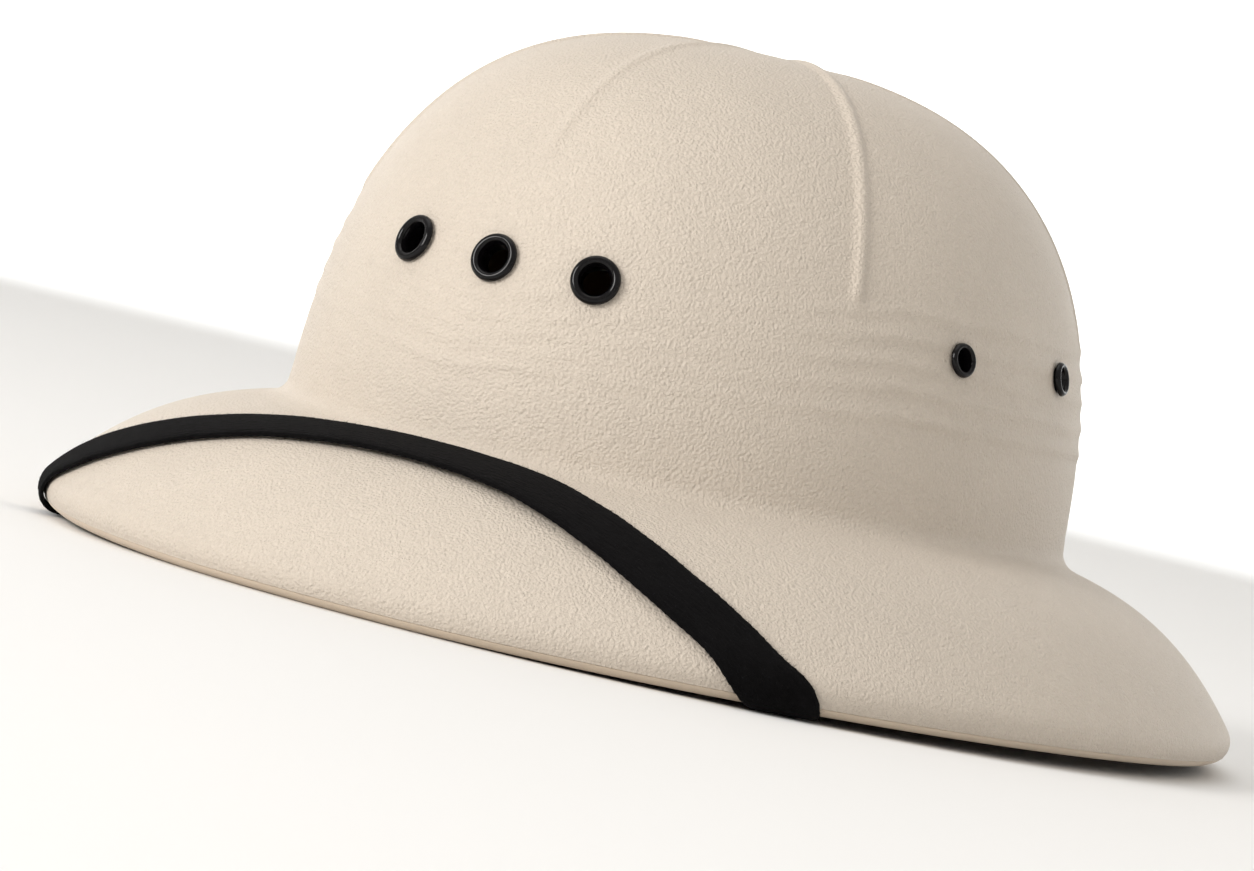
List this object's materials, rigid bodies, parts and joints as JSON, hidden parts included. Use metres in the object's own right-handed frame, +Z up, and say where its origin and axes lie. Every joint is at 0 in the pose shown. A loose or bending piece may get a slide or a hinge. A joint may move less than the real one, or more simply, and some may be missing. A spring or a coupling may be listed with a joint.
{
  "type": "pith helmet",
  "caption": "Sun helmet with a domed, pleated crown, a downturned oval brim, enamelled eyelets and a black strap laid over the front of the brim.",
  "frame": {"origin": "centre of the bounding box's base, on the surface the rim rests on", "axes": "+Z up; the wearer faces -Y, and +X is the wearer's left"},
  "size_m": [0.2828, 0.33, 0.1453],
  "materials": {
    "cover_cloth": "matt",
    "edge_cloth": "matt",
    "band_cloth": "matt",
    "strap_cloth": "matt",
    "black_enamel": "gloss"
  },
  "bodies": {
    "root": {"shell": "cover_cloth", "rim_binding": "edge_cloth", "sweatband": "band_cloth", "chin_strap": "strap_cloth", "strap_tab_left": "band_cloth", "strap_tab_right": "band_cloth", "eyelet_front_centre": "black_enamel", "eyelet_front_left": "black_enamel", "eyelet_front_right": "black_enamel", "eyelet_side_left_fore": "black_enamel", "eyelet_side_left_aft": "black_enamel", "eyelet_side_right_fore": "black_enamel", "eyelet_side_right_aft": "black_enamel"}
  },
  "joints": []
}
